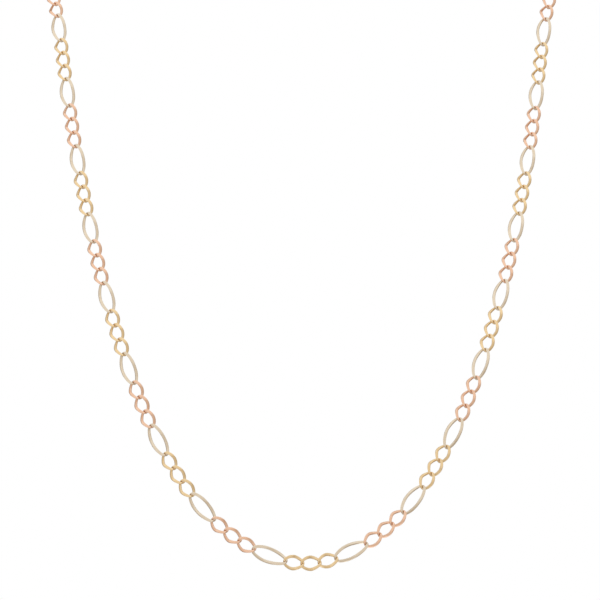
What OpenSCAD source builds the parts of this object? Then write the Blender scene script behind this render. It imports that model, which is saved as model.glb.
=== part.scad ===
// Figaro neck chain in three golds: one long oval link after every three small curb links

/* [Chain] */
// Length of the fastened chain, measured along its middle line
chain_length = 508; // [420:2:620]
// Length that one small curb link adds to the chain
small_pitch = 3.76; // [3.5:0.02:4.4]
// Length that one long oval link adds to the chain
oval_pitch = 7.44; // [6.4:0.02:9]

/* [Links] */
// Outer width of a small curb link
small_width = 3.5; // [3.2:0.05:4]
// Outer width of a long oval link
oval_width = 3.75; // [3.4:0.05:4.2]
// Width of a small link's wire along its sides, seen from the front
small_side_wire = 0.65; // [0.5:0.01:0.7]
// Width of an oval link's wire along its sides, seen from the front
oval_side_wire = 0.64; // [0.5:0.01:0.8]
// Width of the wire at a link's two ends, where the next link hooks in
end_wire = 0.34; // [0.32:0.01:0.5]
// Thickness of the wire from front to back
wire_depth = 0.62; // [0.4:0.01:0.7]
// Gap between the wires of two hooked links
link_gap = 0.1; // [0.1:0.01:0.2]
// Turn of a link's end out of the chain's face, opposite ways at its two ends
curb_turn = 45; // [40:1:50]
// Thickness that the chain is rolled down to after its links are turned
rolled_thickness = 1.06; // [0.9:0.02:1.6]
// Roundness of a small link's sides at its middle: 2 is an ellipse, and less brings them to a corner
small_side_round = 1.45; // [1.2:0.05:2]
// Bluntness of a small link's ends: 2 is an ellipse, and more is blunter
small_end_blunt = 2.5; // [2:0.1:4]
// Roundness of an oval link's sides at its middle
oval_side_round = 2.2; // [1.6:0.1:3]
// Bluntness of an oval link's ends
oval_end_blunt = 2.6; // [2:0.1:4]

/* [Clasp] */
// Length that the clasp adds to the chain
clasp_pitch = 10; // [9:0.5:14]
// Diameter of the clasp's barrel
barrel_diameter = 3; // [2.4:0.1:4]
// Diameter of the barrel's ends, which carry the eyes
barrel_tip_diameter = 1.2; // [1:0.1:1.6]
// Length of each tapered end of the barrel
barrel_taper = 1.2; // [0.8:0.1:1.5]
// Depth of the seam round the barrel's middle
barrel_seam_depth = 0.12; // [0.05:0.01:0.2]
// Width of the seam round the barrel's middle
barrel_seam_width = 0.3; // [0.2:0.05:0.6]
// Diameter of the hole in each eye
eye_hole = 1.7; // [1.5:0.05:2]
// Diameter of the wire that an eye is bent from
eye_wire = 0.6; // [0.5:0.05:0.7]

/* [Hidden] */

WHITE_GOLD = [0.80, 0.75, 0.66];
YELLOW_GOLD = [0.88, 0.70, 0.38];
ROSE_GOLD = [0.86, 0.58, 0.43];

LINKS_IN_GROUP = 3;
SMALL_SIDES = 14;
OVAL_SIDES = 16;
WIRE_SIDES = 5;
ROLL_SHARPNESS = 8;
ROUND = 48;
CURVE_STEPS = 12;

// Route of the chain's middle line, from the nape down the left strand, round the lowest link and up
// the right strand. Each row is a point across, back and up, and the way that the chain's face looks there
ROUTE = [
  // across, back, up, face across, face back, face up
  [0, 0, 0, 0, 7, 7],
  [-26, -2.5, -1, -1, 5, 8],
  [-48.5, -11.5, -5, -3, 1, 9],
  [-60, -27.5, -13, -3, -4, 8],
  [-57.5, -44, -29, -1, -7, 7],
  [-51, -68, -61.5, -1, -8, 6],
  [-42.5, -90, -91, -1, -8, 5],
  [-31, -107.5, -117, -1, -9, 4],
  [-16.5, -118, -134, 0, -9, 4],
  [1.5, -122.5, -140.5, 0, -9, 4],
  [19.5, -116.5, -133.5, 0, -9, 4],
  [34, -103, -115.5, 1, -9, 4],
  [45, -83.5, -90, 0, -8, 5],
  [53, -60.5, -61, 0, -8, 6],
  [59, -35.5, -29, 1, -7, 7],
  [62, -21.5, -11.5, 3, -4, 8],
  [50, -8, -3.5, 3, 1, 9],
  [26.5, -1.5, -0.5, 1, 5, 8],
];

// Groups of small links: one at the lowest point, and as many up each side as the length takes
period = LINKS_IN_GROUP * small_pitch + oval_pitch;
groups_a_side = round((chain_length - clasp_pitch - LINKS_IN_GROUP * small_pitch) / (2 * period));
groups = 2 * groups_a_side + 1;
true_length = clasp_pitch + groups * LINKS_IN_GROUP * small_pitch + (groups - 1) * oval_pitch;

// The wire's flat sides make it this wide across the end of a link
flat_end_wire = end_wire * cos(90 / WIRE_SIDES);
// Two hooked ends reach past each other by this much between their middle lines
hook = flat_end_wire + link_gap;
eye_hook = (flat_end_wire + eye_wire) / 2 + link_gap;

function place_of(row) = [row[0], row[1], row[2]];
function face_of(row) = [row[3], row[4], row[5]];
function unit(v) = v / norm(v);

// Row of the smooth closed curve a share u of the way from row i to the next
function curve_row(i, u) =
  let (
    count = len(ROUTE),
    a = ROUTE[(i + count - 1) % count],
    b = ROUTE[i % count],
    c = ROUTE[(i + 1) % count],
    d = ROUTE[(i + 2) % count]
  )
  b + (c - a) / 2 * u
    + (a - 2.5 * b + 2 * c - d / 2) * pow(u, 2)
    + (1.5 * b - a / 2 - 1.5 * c + d / 2) * pow(u, 3);

curve = [for (i = [0:len(ROUTE) - 1], step = [0:CURVE_STEPS - 1]) curve_row(i, step / CURVE_STEPS), ROUTE[0]];
reach = [
  for (i = 0, sum = 0; i < len(curve);
    sum = sum + (i < len(curve) - 1 ? norm(place_of(curve[i + 1]) - place_of(curve[i])) : 0), i = i + 1)
    sum
];

// The route grows or shrinks as a whole until the fastened chain fits round it
route_scale = true_length / reach[len(reach) - 1];
columns = [for (column = [0:5]) [for (i = [0:len(curve) - 1]) [reach[i] * route_scale, curve[i][column]]]];

// Row of the curve at a distance along the chain from the nape
function row_at(distance) =
  let (along = (distance + true_length) % true_length)
  [for (column = columns) lookup(along, column)];

// Distance along the chain at which a small link starts, and at which an oval link starts
function small_start(group, link) = clasp_pitch / 2 + group * period + link * small_pitch;
function oval_start(group) = small_start(group, LINKS_IN_GROUP);

// Stands children made round the X axis between two distances along the chain, facing outwards
module seat(from, to) {
  first = place_of(row_at(from)) * route_scale;
  last = place_of(row_at(to)) * route_scale;
  along = unit(last - first);
  face = face_of(row_at((from + to) / 2));
  out = unit(face - along * (face * along));
  across = cross(out, along);
  middle = (first + last) / 2;
  multmatrix([
    [along.x, across.x, out.x, middle.x],
    [along.y, across.y, out.y, middle.y],
    [along.z, across.z, out.z, middle.z],
    [0, 0, 0, 1],
  ]) children();
}

// A point turned round the X axis in step with its place between the link's two ends
function curbed(point, reach) =
  let (turn = -curb_turn * point.x / reach)
  [
    point.x,
    point.y * cos(turn) - point.z * sin(turn),
    point.y * sin(turn) + point.z * cos(turn),
  ];

// A point that stands too far out of the chain's face pressed back to it, with a soft edge to the flat
function rolled(point) =
  let (squeeze = pow(1 + pow(2 * abs(point.z) / rolled_thickness, ROLL_SHARPNESS), 1 / ROLL_SHARPNESS))
  [point.x, point.y, point.z / squeeze];

// A number raised to a power, with its own sign kept
function signed_power(value, power) = sign(value) * pow(abs(value), power);

// Corners of the wire round a link, ring by ring, with a flat of the wire towards the front. The link's
// middle line is a superellipse, whose sides and ends have powers of their own, cut flat at its two ends
function link_points(reach, half_width, side_wire, side_round, end_blunt, sides) = [
  for (i = [0:sides - 1], j = [0:WIRE_SIDES - 1])
    let (
      angle = 360 * (i + 0.5) / sides,
      corner = 90 + 360 * (j + 0.5) / WIRE_SIDES,
      half_length = reach / pow(cos(180 / sides), 2 / side_round),
      x = signed_power(cos(angle), 2 / side_round),
      y = signed_power(sin(angle), 2 / end_blunt),
      away = unit([
        side_round / half_length * signed_power(x, side_round - 1),
        end_blunt / half_width * signed_power(y, end_blunt - 1),
        0,
      ]),
      width = end_wire + (side_wire - end_wire) * pow(sin(angle), 2),
      point = [half_length * x, half_width * y, 0]
        + away * width / 2 * cos(corner) + [0, 0, wire_depth / 2 * sin(corner)]
    )
    rolled(curbed(point, reach))
];

// Two triangles for each face of the wire between one ring of corners and the next
function link_faces(sides) = [
  for (i = [0:sides - 1], j = [0:WIRE_SIDES - 1])
    let (
      next_ring = (i + 1) % sides * WIRE_SIDES,
      next_corner = (j + 1) % WIRE_SIDES,
      a = i * WIRE_SIDES + j,
      b = i * WIRE_SIDES + next_corner,
      c = next_ring + next_corner,
      d = next_ring + j
    )
    each [[a, b, c], [a, c, d]]
];

module curb_link(pitch, width, side_wire, side_round, end_blunt, sides) {
  polyhedron(
    link_points((pitch + hook) / 2, (width - side_wire) / 2, side_wire, side_round, end_blunt, sides),
    link_faces(sides)
  );
}

module small_links(metal) {
  // The lowest group is yellow, and the two metals take turns from there
  for (group = [0:groups - 1])
    if (abs(group - groups_a_side) % 2 == metal)
      for (link = [0:LINKS_IN_GROUP - 1])
        seat(small_start(group, link), small_start(group, link + 1))
          curb_link(
            small_pitch, small_width, small_side_wire, small_side_round, small_end_blunt, SMALL_SIDES
          );
}

module white_oval_links() {
  color(WHITE_GOLD)
    for (group = [0:groups - 2])
      seat(oval_start(group), oval_start(group) + oval_pitch)
        curb_link(
          oval_pitch, oval_width, oval_side_wire, oval_side_round, oval_end_blunt, OVAL_SIDES
        );
}

module yellow_curb_links() {
  color(YELLOW_GOLD) small_links(0);
}

module rose_curb_links() {
  color(ROSE_GOLD) small_links(1);
}

module clasp() {
  color(YELLOW_GOLD)
    seat(-clasp_pitch / 2, clasp_pitch / 2) {
      barrel();
      for (end = [-1, 1]) eye(end);
    }
}

// Middle of an eye's ring, and the end of the barrel that stops at its hole
eye_radius = (eye_hole + eye_wire) / 2;
eye_middle = clasp_pitch / 2 + eye_hook - hook / 2 - eye_radius;
barrel_length = 2 * (eye_middle - eye_hole / 2);

module barrel() {
  body_length = barrel_length - 2 * barrel_taper;
  rotate([0, 90, 0]) {
    difference() {
      cylinder(h = body_length, d = barrel_diameter, center = true, $fn = ROUND);
      difference() {
        cylinder(h = barrel_seam_width, d = barrel_diameter + 1, center = true, $fn = ROUND);
        cylinder(h = barrel_seam_width + 1, d = barrel_diameter - 2 * barrel_seam_depth, center = true,
          $fn = ROUND);
      }
    }
    for (end = [0, 180])
      rotate([end, 0, 0])
        translate([0, 0, body_length / 2])
          cylinder(h = barrel_taper, d1 = barrel_diameter, d2 = barrel_tip_diameter, $fn = ROUND);
  }
}

// A ring at one end of the clasp, turned square to the link that hooks into it
module eye(end) {
  translate([end * eye_middle, 0, 0])
    rotate([-end * curb_turn, 0, 0])
      rotate_extrude($fn = ROUND)
        translate([eye_radius, 0])
          circle(d = eye_wire, $fn = ROUND);
}

white_oval_links();
yellow_curb_links();
rose_curb_links();
clasp();
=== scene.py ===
"""Figaro neck chain in three golds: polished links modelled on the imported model, and a white studio."""

import logging
import math
from dataclasses import dataclass
from enum import Enum

import bpy
import numpy as np
from mathutils import Matrix, Vector

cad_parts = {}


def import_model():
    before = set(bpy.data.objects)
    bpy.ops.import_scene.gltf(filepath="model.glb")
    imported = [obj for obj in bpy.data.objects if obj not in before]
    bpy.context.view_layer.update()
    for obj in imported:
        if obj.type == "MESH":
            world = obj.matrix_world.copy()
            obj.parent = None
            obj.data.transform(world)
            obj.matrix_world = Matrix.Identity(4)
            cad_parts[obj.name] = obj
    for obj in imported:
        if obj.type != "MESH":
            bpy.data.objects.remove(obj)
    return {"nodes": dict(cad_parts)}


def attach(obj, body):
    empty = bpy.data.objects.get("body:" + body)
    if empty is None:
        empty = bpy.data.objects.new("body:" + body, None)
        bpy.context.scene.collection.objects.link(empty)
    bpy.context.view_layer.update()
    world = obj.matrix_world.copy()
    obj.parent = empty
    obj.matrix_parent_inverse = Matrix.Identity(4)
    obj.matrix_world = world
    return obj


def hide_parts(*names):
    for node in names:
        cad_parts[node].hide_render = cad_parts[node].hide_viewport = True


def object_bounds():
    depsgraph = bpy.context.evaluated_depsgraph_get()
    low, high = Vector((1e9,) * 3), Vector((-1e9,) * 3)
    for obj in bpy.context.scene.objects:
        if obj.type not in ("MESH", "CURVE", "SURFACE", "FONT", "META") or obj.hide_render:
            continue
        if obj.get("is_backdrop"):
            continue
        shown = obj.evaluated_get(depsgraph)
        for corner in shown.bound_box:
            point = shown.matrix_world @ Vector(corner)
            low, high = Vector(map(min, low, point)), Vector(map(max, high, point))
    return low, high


log = logging.getLogger("figaro_chain")

MM = 0.001
WELD_DISTANCE = 0.001 * MM
ROUND_PROFILE = 0.5


class Detail(Enum):
    """How finely a link is cut: corners along its outline."""

    SMALL = 84
    OVAL = 104


@dataclass(frozen=True)
class GoldFinish:
    """Polished gold of one colour, faintly clouded and finely grained.

    Its pattern reads Object coordinates, so it stays on the metal from every side. Its scales are in
    periods a metre, and smoothest and roughest are shares of the roughness.
    """

    name: str
    colour: tuple[float, float, float]
    deep_colour: tuple[float, float, float]
    roughness: float
    cloud_scale: float = 900.0
    cloud_detail: float = 3.0
    cloud_edges: tuple[float, float] = (0.35, 0.6)
    grain_scale: float = 14000.0
    grain_detail: float = 2.0
    grain_depth: float = 0.004 * MM
    grain_strength: float = 0.25
    smoothest: float = 0.7
    roughest: float = 1.4

    def material(self) -> bpy.types.Material:
        """Make the material.

        Returns:
            A node material with a colour, a roughness and a bump that vary over the metal.
        """
        made = bpy.data.materials.new(self.name)
        made.use_nodes = True
        made.diffuse_color = (*self.colour, 1.0)
        nodes, links = made.node_tree.nodes, made.node_tree.links
        shader = nodes["Principled BSDF"]
        shader.inputs["Metallic"].default_value = 1.0
        place = nodes.new("ShaderNodeTexCoord")
        clouds = self._noise(nodes, self.cloud_scale, self.cloud_detail)
        grain = self._noise(nodes, self.grain_scale, self.grain_detail)
        for noise in (clouds, grain):
            links.new(place.outputs["Object"], noise.inputs["Vector"])
        tint = nodes.new("ShaderNodeValToRGB")
        deep, plain = tint.color_ramp.elements
        deep.position, plain.position = self.cloud_edges
        deep.color = (*self.deep_colour, 1.0)
        plain.color = (*self.colour, 1.0)
        links.new(clouds.outputs["Fac"], tint.inputs["Fac"])
        links.new(tint.outputs["Color"], shader.inputs["Base Color"])
        polish = nodes.new("ShaderNodeMapRange")
        polish.inputs["To Min"].default_value = self.roughness * self.smoothest
        polish.inputs["To Max"].default_value = self.roughness * self.roughest
        links.new(grain.outputs["Fac"], polish.inputs["Value"])
        links.new(polish.outputs["Result"], shader.inputs["Roughness"])
        relief = nodes.new("ShaderNodeBump")
        relief.inputs["Distance"].default_value = self.grain_depth
        relief.inputs["Strength"].default_value = self.grain_strength
        links.new(grain.outputs["Fac"], relief.inputs["Height"])
        links.new(relief.outputs["Normal"], shader.inputs["Normal"])
        return made

    @staticmethod
    def _noise(nodes: bpy.types.Nodes, scale: float, detail: float) -> bpy.types.Node:
        """Add a noise texture of a scale, in periods a metre, and a detail to the nodes."""
        noise = nodes.new("ShaderNodeTexNoise")
        noise.inputs["Scale"].default_value = scale
        noise.inputs["Detail"].default_value = detail
        return noise


class Metal(Enum):
    """The chain's three golds."""

    WHITE = GoldFinish("white_gold", (0.83, 0.71, 0.55), (0.79, 0.66, 0.50), 0.2)
    YELLOW = GoldFinish("yellow_gold", (0.93, 0.71, 0.42), (0.89, 0.65, 0.36), 0.2)
    ROSE = GoldFinish("rose_gold", (0.94, 0.63, 0.45), (0.90, 0.57, 0.39), 0.2)


@dataclass(frozen=True)
class Seat:
    """Where one link or the clasp lies: its middle, its three ways, and its outer length and width."""

    middle: Vector
    along: Vector
    across: Vector
    out: Vector
    length: float
    width: float

    @classmethod
    def of_points(cls, points: np.ndarray) -> "Seat":
        """Measure a seat on the corners of one solid.

        Args:
            points: The solid's corners, a row each.

        Returns:
            The seat, whose out points upwards, as the chain's face does all the way round.
        """
        middle = points.mean(0)
        ways = np.linalg.eigh(np.cov((points - middle).T))[1]
        along, out = ways[:, 2], ways[:, 0] * math.copysign(1.0, ways[2, 0])
        across = np.cross(out, along)
        length = float(np.ptp(points @ along))
        width = float(np.ptp(points @ across))
        return cls(Vector(middle), Vector(along), Vector(across), Vector(out), length, width)

    def matrix(self) -> Matrix:
        """Return the matrix that stands what is modelled at the origin in this seat."""
        turn = Matrix((self.along, self.across, self.out)).transposed()
        return Matrix.Translation(self.middle) @ turn.to_4x4()


def select_only(piece: bpy.types.Object) -> None:
    """Make one object the only one selected, and the active one."""
    bpy.ops.object.select_all(action="DESELECT")
    piece.select_set(True)
    bpy.context.view_layer.objects.active = piece


def seats_in(node: bpy.types.Object) -> list[Seat]:
    """Measure the seat of each separate solid of a node.

    Args:
        node: The node's object, whose own mesh is left as it is.

    Returns:
        A seat for each solid.
    """
    copy = bpy.data.objects.new("measured", node.data.copy())
    bpy.context.collection.objects.link(copy)
    select_only(copy)
    bpy.ops.object.mode_set(mode="EDIT")
    bpy.ops.mesh.select_all(action="SELECT")
    bpy.ops.mesh.remove_doubles(threshold=WELD_DISTANCE)
    bpy.ops.mesh.separate(type="LOOSE")
    bpy.ops.object.mode_set(mode="OBJECT")
    solids = list(bpy.context.selected_objects)
    seats = [Seat.of_points(np.array([v.co for v in solid.data.vertices])) for solid in solids]
    for solid in solids:
        bpy.data.objects.remove(solid)
    return seats


def signed_power(value: float, power: float) -> float:
    """Return the value raised to a power, with its own sign kept."""
    return math.copysign(abs(value) ** power, value)


@dataclass(frozen=True)
class LinkPattern:
    """One kind of link: a flat ring of wire with rounded edges, given its curb twist and then rolled flat.

    The widths of wire are those seen from the front. Each outline is a superellipse, with the power
    side_round along the link and end_blunt across it, and outer_gain makes the outer one fuller.
    frame_end_wire is the wire's width at the ends of the frame's own links, which gives how far the wire's
    middle reaches. side_inset keeps the sides inside the frame's, end_growth fills the ends outwards, and
    rolled_half is half the rolled thickness.
    """

    detail: Detail
    side_wire: float
    side_round: float
    end_blunt: float
    end_wire: float = 0.34 * MM
    depth: float = 0.51 * MM
    edge_round: float = 0.16 * MM
    edge_steps: int = 3
    curb_turn: float = math.radians(45)
    rolled_half: float = 0.49 * MM
    roll_sharpness: float = 8.0
    frame_end_wire: float = 0.323 * MM
    outer_gain: float = 1.14
    side_inset: float = 0.045 * MM
    end_growth: float = 0.05 * MM
    sharp_edge: float = math.radians(60)
    smooth_edge: float = math.radians(40)

    def model(self, name: str, length: float, width: float) -> bpy.types.Object:
        """Model the link at the origin, along X with its face up, twist it and roll it flat.

        Args:
            name: The name of the new object.
            length: Outer length of the frame's own link.
            width: Outer width of the frame's own link.

        Returns:
            The finished link.
        """
        reach = (length - self.frame_end_wire) / 2
        outer_reach = reach + self.end_wire / 2 + self.end_growth
        half_width = (width - self.side_wire) / 2 - self.side_inset
        link = self._add_outlines(name)
        corners = list(link.data.vertices)
        inner, outer = corners[: self.detail.value], corners[self.detail.value :]
        self._shape_outline(inner, reach - self.end_wire / 2, half_width - self.side_wire / 2, 1.0)
        self._shape_outline(outer, outer_reach, half_width + self.side_wire / 2, self.outer_gain)
        self._fill_out()
        twist = link.modifiers.new("curb", "SIMPLE_DEFORM")
        twist.deform_method = "TWIST"
        twist.deform_axis = "X"
        twist.angle = -2 * self.curb_turn * outer_reach / reach
        bpy.ops.object.modifier_apply(modifier=twist.name)
        self._roll_flat(link)
        bpy.ops.object.shade_smooth_by_angle(angle=self.smooth_edge)
        return link

    def _add_outlines(self, name: str) -> bpy.types.Object:
        """Add two round outlines, the inner one's corners first.

        Args:
            name: The name of the new object.

        Returns:
            The new object, the active one, whose outlines have a radius of 1.
        """
        bpy.ops.object.select_all(action="DESELECT")
        bpy.ops.mesh.primitive_circle_add(vertices=self.detail.value, radius=1.0, fill_type="NOTHING")
        link = bpy.context.active_object
        link.name = name
        bpy.ops.object.mode_set(mode="EDIT")
        bpy.ops.mesh.select_all(action="SELECT")
        bpy.ops.mesh.duplicate()
        bpy.ops.object.mode_set(mode="OBJECT")
        return link

    def _fill_out(self) -> None:
        """Make a ring of wire with rounded edges of the active object's two outlines."""
        bpy.ops.object.mode_set(mode="EDIT")
        bpy.ops.mesh.select_all(action="SELECT")
        bpy.ops.mesh.bridge_edge_loops()
        bpy.ops.mesh.select_all(action="SELECT")
        bpy.ops.mesh.extrude_region_move(TRANSFORM_OT_translate={"value": (0.0, 0.0, self.depth)})
        bpy.ops.mesh.select_all(action="SELECT")
        bpy.ops.transform.translate(value=(0.0, 0.0, -self.depth / 2))
        bpy.ops.mesh.normals_make_consistent(inside=False)
        bpy.ops.mesh.select_all(action="DESELECT")
        bpy.ops.mesh.select_mode(type="EDGE")
        bpy.ops.mesh.edges_select_sharp(sharpness=self.sharp_edge)
        bpy.ops.mesh.bevel(
            offset=self.edge_round,
            segments=self.edge_steps,
            profile=ROUND_PROFILE,
            affect="EDGES",
            clamp_overlap=False,
        )
        bpy.ops.mesh.select_mode(type="VERT")
        bpy.ops.object.mode_set(mode="OBJECT")

    def _shape_outline(
        self, corners: list[bpy.types.MeshVertex], half_length: float, half_width: float, gain: float
    ) -> None:
        """Shape a round outline into one of the link's own, a superellipse with a power each way.

        Args:
            corners: The outline's corners, on a circle of radius 1.
            half_length: Half the outline's new length.
            half_width: Half the outline's new width.
            gain: How much fuller the outline is than the link's inner one.
        """
        for corner in corners:
            angle = math.atan2(corner.co.y, corner.co.x)
            corner.co.x = half_length * signed_power(math.cos(angle), 2 / (self.side_round * gain))
            corner.co.y = half_width * signed_power(math.sin(angle), 2 / (self.end_blunt * gain))

    def _roll_flat(self, link: bpy.types.Object) -> None:
        """Press back what stands out of the chain's face, with a soft edge to the flat.

        Args:
            link: The twisted link.
        """
        for corner in link.data.vertices:
            height = abs(corner.co.z) / self.rolled_half
            corner.co.z /= (1 + height**self.roll_sharpness) ** (1 / self.roll_sharpness)


@dataclass(frozen=True)
class LinkRun:
    """All links of one gold, which are one body in Blender."""

    name: str
    node: str
    metal: Metal
    pattern: LinkPattern

    def build(self, node: bpy.types.Object) -> bpy.types.Object:
        """Model one link, copy it into each of the frame's seats and join the copies.

        Args:
            node: The frame's node that the links stand for.

        Returns:
            The finished piece, with its metal on.
        """
        seats = seats_in(node)
        length = sum(seat.length for seat in seats) / len(seats)
        width = sum(seat.width for seat in seats) / len(seats)
        first = self.pattern.model(self.name, length, width)
        copies = []
        for seat in seats[1:]:
            copy = bpy.data.objects.new(self.name, first.data.copy())
            copy.data.transform(seat.matrix())
            bpy.context.collection.objects.link(copy)
            copies.append(copy)
        first.data.transform(seats[0].matrix())
        select_only(first)
        for copy in copies:
            copy.select_set(True)
        bpy.ops.object.join()
        first.name = self.name
        first.data.materials.clear()
        first.data.materials.append(self.metal.value.material())
        log.info("%s: %d links, %.2f by %.2f mm", self.name, len(seats), length / MM, width / MM)
        return first


@dataclass(frozen=True)
class BarrelClasp:
    """Plain closed barrel clasp: a turned barrel with a seam round its middle and an eye at each end."""

    name: str
    node: str
    metal: Metal
    barrel_radius: float = 1.5 * MM
    tip_radius: float = 0.6 * MM
    half_length: float = 3.35 * MM
    taper: float = 1.2 * MM
    seam_half_width: float = 0.15 * MM
    seam_depth: float = 0.12 * MM
    edge_round: float = 0.05 * MM
    edge_steps: int = 3
    eye_hole_radius: float = 0.85 * MM
    eye_wire_radius: float = 0.3 * MM
    eye_turn: float = math.radians(45)
    corners_round: int = 96
    corners_wire: int = 32
    face: tuple[float, float, float] = (0.0, 1.0, 1.0)
    sharp_edge: float = math.radians(30)
    smooth_edge: float = math.radians(25)

    def build(self, node: bpy.types.Object) -> bpy.types.Object:
        """Model the clasp at the origin, along X, and stand it where the frame has it.

        Args:
            node: The frame's clasp.

        Returns:
            The finished clasp.
        """
        clasp = self._turn_barrel()
        eyes = [self._add_eye(end) for end in (-1, 1)]
        select_only(clasp)
        for eye in eyes:
            eye.select_set(True)
        bpy.ops.object.join()
        bpy.ops.object.transform_apply(location=True, rotation=True, scale=True)
        bpy.ops.object.shade_smooth_by_angle(angle=self.smooth_edge)
        clasp.data.transform(self._seat(node).matrix())
        clasp.data.materials.clear()
        clasp.data.materials.append(bpy.data.materials[self.metal.value.name])
        log.info("%s: %.2f mm long", self.name, 2 * (self._eye_middle() + self._eye_reach()) / MM)
        return clasp

    def _eye_middle(self) -> float:
        """Return how far an eye's middle lies from the clasp's."""
        return self.half_length + self.eye_hole_radius

    def _eye_reach(self) -> float:
        """Return an eye's outer radius."""
        return self.eye_hole_radius + 2 * self.eye_wire_radius

    def _seat(self, node: bpy.types.Object) -> Seat:
        """Measure where the frame's clasp lies, with its face up and back like the nape's.

        Args:
            node: The frame's clasp.

        Returns:
            The clasp's seat.
        """
        points = np.array([corner.co for corner in node.data.vertices])
        spread = np.linalg.eigh(np.cov((points - points.mean(0)).T))[1]
        along = -spread[:, 2] * math.copysign(1.0, spread[0, 2])
        face = np.array(self.face)
        out = face - along * (face @ along)
        out /= np.linalg.norm(out)
        across = np.cross(out, along)
        ways = (along, across, out)
        middle = sum(way * (np.max(points @ way) + np.min(points @ way)) / 2 for way in ways)
        length, width = float(np.ptp(points @ along)), float(np.ptp(points @ across))
        return Seat(Vector(middle), Vector(along), Vector(across), Vector(out), length, width)

    def _turn_barrel(self) -> bpy.types.Object:
        """Model the barrel, from one tip to the other.

        Returns:
            The barrel, along X, with its edges rounded.
        """
        body_end = self.half_length - self.taper
        seam_radius = self.barrel_radius - self.seam_depth
        stations = (
            (-body_end, self.barrel_radius),
            (-self.seam_half_width, self.barrel_radius),
            (-self.seam_half_width, seam_radius),
            (self.seam_half_width, seam_radius),
            (self.seam_half_width, self.barrel_radius),
            (body_end, self.barrel_radius),
            (self.half_length, self.tip_radius),
        )
        bpy.ops.object.select_all(action="DESELECT")
        bpy.ops.mesh.primitive_circle_add(
            vertices=self.corners_round,
            radius=self.tip_radius,
            fill_type="NGON",
            location=(0.0, 0.0, -self.half_length),
        )
        barrel = bpy.context.active_object
        barrel.name = self.name
        bpy.ops.object.transform_apply(location=True, rotation=False, scale=False)
        bpy.ops.object.mode_set(mode="EDIT")
        bpy.ops.mesh.select_all(action="SELECT")
        place, radius = -self.half_length, self.tip_radius
        for next_place, next_radius in stations:
            step = (0.0, 0.0, next_place - place)
            grow = next_radius / radius
            bpy.ops.mesh.extrude_region_move(TRANSFORM_OT_translate={"value": step})
            bpy.ops.transform.resize(value=(grow, grow, 1.0))
            place, radius = next_place, next_radius
        bpy.ops.mesh.select_all(action="SELECT")
        bpy.ops.mesh.normals_make_consistent(inside=False)
        bpy.ops.mesh.select_all(action="DESELECT")
        bpy.ops.mesh.select_mode(type="EDGE")
        bpy.ops.mesh.edges_select_sharp(sharpness=self.sharp_edge)
        bpy.ops.mesh.bevel(
            offset=self.edge_round,
            segments=self.edge_steps,
            profile=ROUND_PROFILE,
            affect="EDGES",
            clamp_overlap=True,
        )
        bpy.ops.mesh.select_mode(type="VERT")
        bpy.ops.object.mode_set(mode="OBJECT")
        barrel.rotation_euler = (0.0, math.pi / 2, 0.0)
        bpy.ops.object.transform_apply(location=True, rotation=True, scale=True)
        return barrel

    def _add_eye(self, end: int) -> bpy.types.Object:
        """Add the eye of one end, -1 or 1, and return it."""
        bpy.ops.mesh.primitive_torus_add(
            major_segments=self.corners_round,
            minor_segments=self.corners_wire,
            major_radius=self.eye_hole_radius + self.eye_wire_radius,
            minor_radius=self.eye_wire_radius,
            location=(end * self._eye_middle(), 0.0, 0.0),
            rotation=(-end * self.eye_turn, 0.0, 0.0),
        )
        return bpy.context.active_object


@dataclass(frozen=True)
class RoomPatch:
    """A soft bright or dark patch of the room round the chain.

    Its bearing is 0 towards the camera and grows to the right, and its height is above the horizon.
    """

    bearing: float
    height: float
    light: float
    tightness: float

    def glow(
        self, nodes: bpy.types.Nodes, links: bpy.types.NodeLinks, way: bpy.types.NodeSocket
    ) -> bpy.types.NodeSocket:
        """Add the nodes that work out the patch's light for a direction.

        Args:
            nodes: The world's nodes.
            links: The world's links.
            way: The direction looked in.

        Returns:
            The patch's light in that direction.
        """
        bearing, height = math.radians(self.bearing), math.radians(self.height)
        flat = math.cos(height)
        nearness = nodes.new("ShaderNodeVectorMath")
        nearness.operation = "DOT_PRODUCT"
        nearness.inputs[1].default_value = (
            math.sin(bearing) * flat,
            -math.cos(bearing) * flat,
            math.sin(height),
        )
        links.new(way, nearness.inputs[0])
        power = nodes.new("ShaderNodeMath")
        power.operation = "MULTIPLY_ADD"
        power.inputs[1].default_value = self.tightness
        power.inputs[2].default_value = -self.tightness
        links.new(nearness.outputs["Value"], power.inputs[0])
        fade = nodes.new("ShaderNodeMath")
        fade.operation = "EXPONENT"
        links.new(power.outputs[0], fade.inputs[0])
        light = nodes.new("ShaderNodeMath")
        light.operation = "MULTIPLY"
        light.inputs[1].default_value = self.light
        links.new(fade.outputs[0], light.inputs[0])
        return light.outputs[0]


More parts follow.
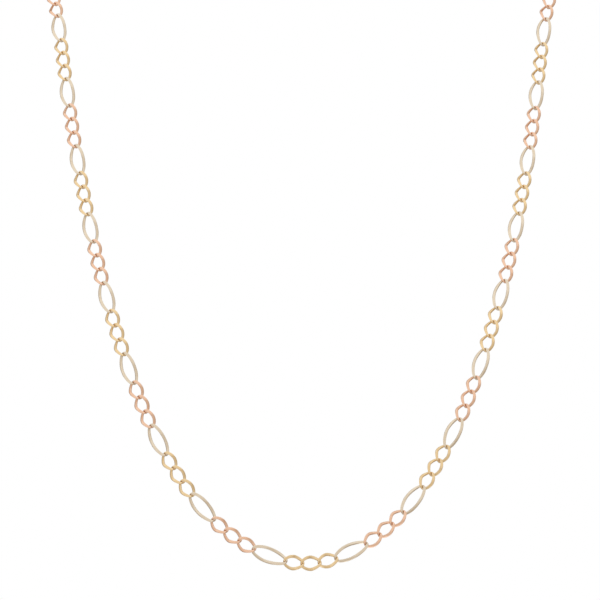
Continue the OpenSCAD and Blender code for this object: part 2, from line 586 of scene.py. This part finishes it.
@dataclass(frozen=True)
class Studio:
    """White studio: the floor, the room's light and the camera."""

    camera_pitch: float = math.radians(8)
    camera_distance: float = 0.6
    camera_reach: tuple[float, float] = (0.01, 50.0)
    focal_pixels: float = 2769.0
    frame_pixels: float = 600.0
    low_link_pixel: tuple[float, float] = (311.0, 563.2)
    sensor: float = 36.0
    floor_drop: float = 0.12
    floor_size: float = 14.0
    room_light: float = 0.56
    dim_colour: tuple[float, float, float, float] = (1.0, 0.90, 0.79, 1.0)
    dim_light: float = 0.4
    bright_light: float = 0.95
    patches: tuple[RoomPatch, ...] = (
        RoomPatch(bearing=0, height=85, light=0.45, tightness=1.5),
        RoomPatch(bearing=12, height=-50, light=0.9, tightness=9),
        RoomPatch(bearing=-50, height=30, light=0.06, tightness=6),
        RoomPatch(bearing=-140, height=-5, light=-0.4, tightness=4),
        RoomPatch(bearing=60, height=0, light=-0.15, tightness=5),
        RoomPatch(bearing=120, height=-25, light=-0.15, tightness=5),
    )

    def add_camera(self, low_link: Vector) -> None:
        """Stand the camera so that the lowest link's middle is where the photo has it.

        Args:
            low_link: Middle of the lowest link.
        """
        ahead = Vector((0.0, math.cos(self.camera_pitch), -math.sin(self.camera_pitch)))
        above = Vector((0.0, math.sin(self.camera_pitch), math.cos(self.camera_pitch)))
        aside = Vector((1.0, 0.0, 0.0))
        centre = self.frame_pixels / 2
        share = self.camera_distance / self.focal_pixels
        right, up = self.low_link_pixel[0] - centre, centre - self.low_link_pixel[1]
        data = bpy.data.cameras.new("camera")
        data.sensor_width = self.sensor
        data.lens = self.focal_pixels / self.frame_pixels * self.sensor
        data.clip_start, data.clip_end = self.camera_reach
        camera = bpy.data.objects.new("camera", data)
        aim = low_link - aside * right * share - above * up * share
        camera.location = aim - ahead * self.camera_distance
        camera.rotation_euler = (math.pi / 2 - self.camera_pitch, 0.0, 0.0)
        bpy.context.collection.objects.link(camera)
        bpy.context.scene.camera = camera

    def add_floor(self, lowest: float) -> None:
        """Lay a wide floor of lit white paper below the hanging chain.

        Args:
            lowest: Height of the chain's lowest point.
        """
        bpy.ops.object.select_all(action="DESELECT")
        ground = lowest - self.floor_drop
        bpy.ops.mesh.primitive_plane_add(size=self.floor_size, location=(0.0, 0.0, ground))
        floor = bpy.context.active_object
        floor.name = "studio_floor"
        paper = bpy.data.materials.new("studio_paper")
        paper.use_nodes = True
        shader = paper.node_tree.nodes["Principled BSDF"]
        shader.inputs["Base Color"].default_value = (0.0, 0.0, 0.0, 1.0)
        shader.inputs["Specular IOR Level"].default_value = 0.0
        shader.inputs["Emission Color"].default_value = (1.0, 1.0, 1.0, 1.0)
        shader.inputs["Emission Strength"].default_value = 1.0
        floor.data.materials.append(paper)
        floor.visible_glossy = False
        floor.visible_diffuse = False
        floor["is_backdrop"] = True

    def add_light(self) -> None:
        """Surround the chain with a pale room, whose walls the metal mirrors, on a white ground."""
        world = bpy.data.worlds.new("studio")
        world.use_nodes = True
        nodes, links = world.node_tree.nodes, world.node_tree.links
        room = nodes["Background"]
        way = nodes.new("ShaderNodeTexCoord").outputs["Generated"]
        total = self._value(nodes, self.room_light)
        for patch in self.patches:
            total = self._sum(nodes, links, total, patch.glow(nodes, links, way))
        links.new(total, room.inputs["Strength"])
        warmth = nodes.new("ShaderNodeMapRange")
        warmth.inputs["From Min"].default_value = self.dim_light
        warmth.inputs["From Max"].default_value = self.bright_light
        links.new(total, warmth.inputs["Value"])
        tint = nodes.new("ShaderNodeValToRGB")
        tint.color_ramp.elements[0].color = self.dim_colour
        tint.color_ramp.elements[1].color = (1.0, 1.0, 1.0, 1.0)
        links.new(warmth.outputs["Result"], tint.inputs["Fac"])
        links.new(tint.outputs["Color"], room.inputs["Color"])
        ground = nodes.new("ShaderNodeBackground")
        rays = nodes.new("ShaderNodeLightPath")
        mix = nodes.new("ShaderNodeMixShader")
        links.new(rays.outputs["Is Camera Ray"], mix.inputs["Fac"])
        links.new(room.outputs["Background"], mix.inputs[1])
        ground.inputs["Color"].default_value = (1.0, 1.0, 1.0, 1.0)
        links.new(ground.outputs["Background"], mix.inputs[2])
        links.new(mix.outputs["Shader"], nodes["World Output"].inputs["Surface"])
        bpy.context.scene.world = world

    @staticmethod
    def _value(nodes: bpy.types.Nodes, value: float) -> bpy.types.NodeSocket:
        """Add a node that gives one number, and return its socket."""
        node = nodes.new("ShaderNodeValue")
        node.outputs[0].default_value = value
        return node.outputs[0]

    @staticmethod
    def _sum(
        nodes: bpy.types.Nodes,
        links: bpy.types.NodeLinks,
        first: bpy.types.NodeSocket,
        second: bpy.types.NodeSocket,
    ) -> bpy.types.NodeSocket:
        """Add a node that adds two sockets, and return its socket."""
        node = nodes.new("ShaderNodeMath")
        node.operation = "ADD"
        links.new(first, node.inputs[0])
        links.new(second, node.inputs[1])
        return node.outputs[0]


def main() -> None:
    """Load the frame, model each piece in its place, and light the scene."""
    logging.basicConfig(level=logging.INFO, format="%(name)s: %(message)s")
    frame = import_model()
    frame_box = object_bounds()
    small = LinkPattern(Detail.SMALL, side_wire=0.66 * MM, side_round=1.45, end_blunt=2.5)
    oval = LinkPattern(Detail.OVAL, side_wire=0.65 * MM, side_round=2.0, end_blunt=2.5)
    low_link = min(seats_in(frame["nodes"]["yellow_curb_links"]), key=lambda seat: seat.middle.z).middle
    studio = Studio()
    studio.add_camera(low_link)
    pieces = [
        LinkRun("white_gold_links", "white_oval_links", Metal.WHITE, oval),
        LinkRun("yellow_gold_links", "yellow_curb_links", Metal.YELLOW, small),
        LinkRun("rose_gold_links", "rose_curb_links", Metal.ROSE, small),
        BarrelClasp("barrel_clasp", "clasp", Metal.YELLOW),
    ]
    for piece in pieces:
        made = piece.build(frame["nodes"][piece.node])
        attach(made, "root")
        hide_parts(piece.node)
    studio.add_floor(frame_box[0].z)
    studio.add_light()
    bpy.context.scene.view_settings.view_transform = "Standard"


if __name__ == "__main__":
    main()
